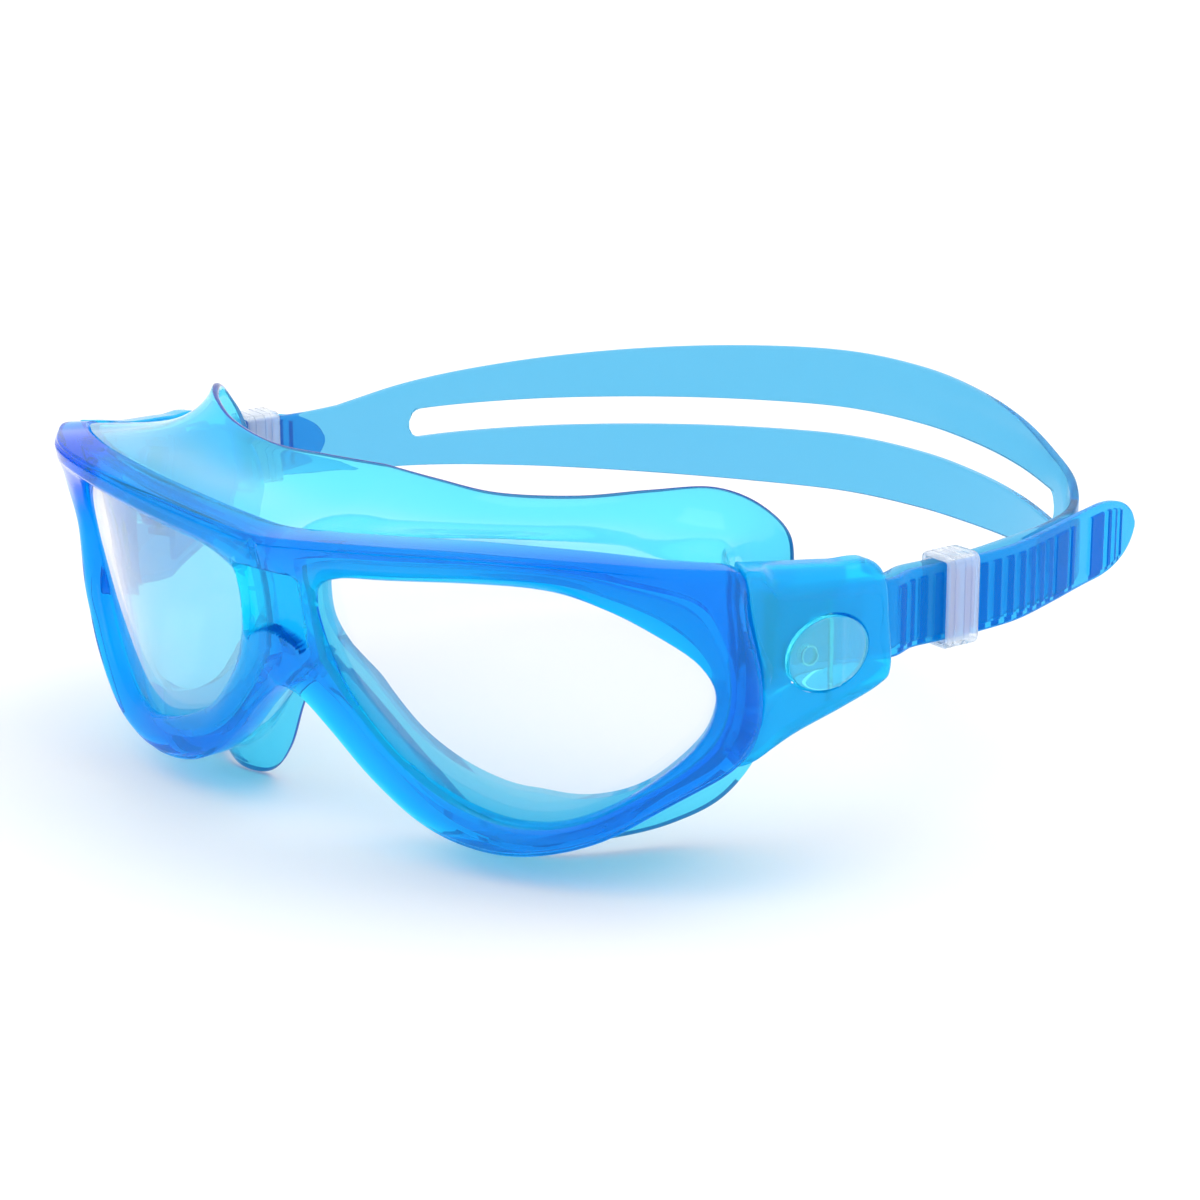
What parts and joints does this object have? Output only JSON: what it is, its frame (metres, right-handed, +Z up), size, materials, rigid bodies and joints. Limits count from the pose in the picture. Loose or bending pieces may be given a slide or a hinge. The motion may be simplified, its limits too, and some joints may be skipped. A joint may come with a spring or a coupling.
{
  "type": "swim goggles",
  "caption": "Mask-style swim goggles: one rigid see-through frame and face seal round both eyes, side buckles with release buttons, and a split silicone head strap.",
  "frame": {"origin": "on the plane of symmetry of the front, in the middle of the face opening, where the seal meets the face", "axes": "+X the wearer's left, +Y from the lenses towards the head, +Z up; the wearer looks along -Y"},
  "size_m": [0.1586, 0.1584, 0.0585],
  "materials": {
    "frame_blue": "glossy, see-through",
    "housing_blue": "satin, see-through",
    "seal_cyan": "glossy clear silicone",
    "lens_clear": "clear, polished",
    "strap_blue": "satin silicone",
    "clear_plastic": "clear, polished",
    "keeper_frost": "frosted",
    "stainless_steel": "drawn wire"
  },
  "bodies": {
    "goggles": {"front_frame": "frame_blue", "face_seal": "seal_cyan", "head_strap": "strap_blue", "left_lens": "lens_clear", "left_buckle_housing": "housing_blue", "left_buckle_cover": "housing_blue", "left_button_pin": "stainless_steel", "left_button_spring": "stainless_steel", "left_roller_pin": "stainless_steel", "right_lens": "lens_clear", "right_buckle_housing": "housing_blue", "right_buckle_cover": "housing_blue", "right_button_pin": "stainless_steel", "right_button_spring": "stainless_steel", "right_roller_pin": "stainless_steel"},
    "left_button": {"left_release_button": "clear_plastic"},
    "left_roller": {"left_strap_roller": "clear_plastic"},
    "left_keeper": {"left_strap_keeper": "keeper_frost"},
    "right_button": {"right_release_button": "clear_plastic"},
    "right_roller": {"right_strap_roller": "clear_plastic"},
    "right_keeper": {"right_strap_keeper": "keeper_frost"}
  },
  "joints": [
    {"name": "left_button_press", "type": "hinge", "parent": "goggles", "child": "left_button", "pos_m": [0.07319, 0.01107, 0.0089], "axis": [0, 0, -1], "range_deg": [0, 7], "stiffness_Nm_per_rad": 0.05, "springref_deg": -8.59, "deforming": ["left_button_spring"]},
    {"name": "left_roller_spin", "type": "hinge", "parent": "goggles", "child": "left_roller", "pos_m": [0.06679, 0.00503, 0.0089], "axis": [0, 0, 1], "continuous": true},
    {"name": "left_keeper_slide", "type": "slide", "parent": "goggles", "child": "left_keeper", "axis": [0.2251, 0.9743, 0], "range_m": [-0.0055, 0.002]},
    {"name": "right_button_press", "type": "hinge", "parent": "goggles", "child": "right_button", "pos_m": [-0.07319, 0.01107, 0.0089], "axis": [0, 0, 1], "range_deg": [0, 7], "stiffness_Nm_per_rad": 0.05, "springref_deg": -8.59, "deforming": ["right_button_spring"]},
    {"name": "right_roller_spin", "type": "hinge", "parent": "goggles", "child": "right_roller", "pos_m": [-0.06679, 0.00503, 0.0089], "axis": [0, 0, 1], "continuous": true},
    {"name": "right_keeper_slide", "type": "slide", "parent": "goggles", "child": "right_keeper", "axis": [0.2276, 0.9737, 0], "range_m": [-0.0012, 0.007]}
  ]
}
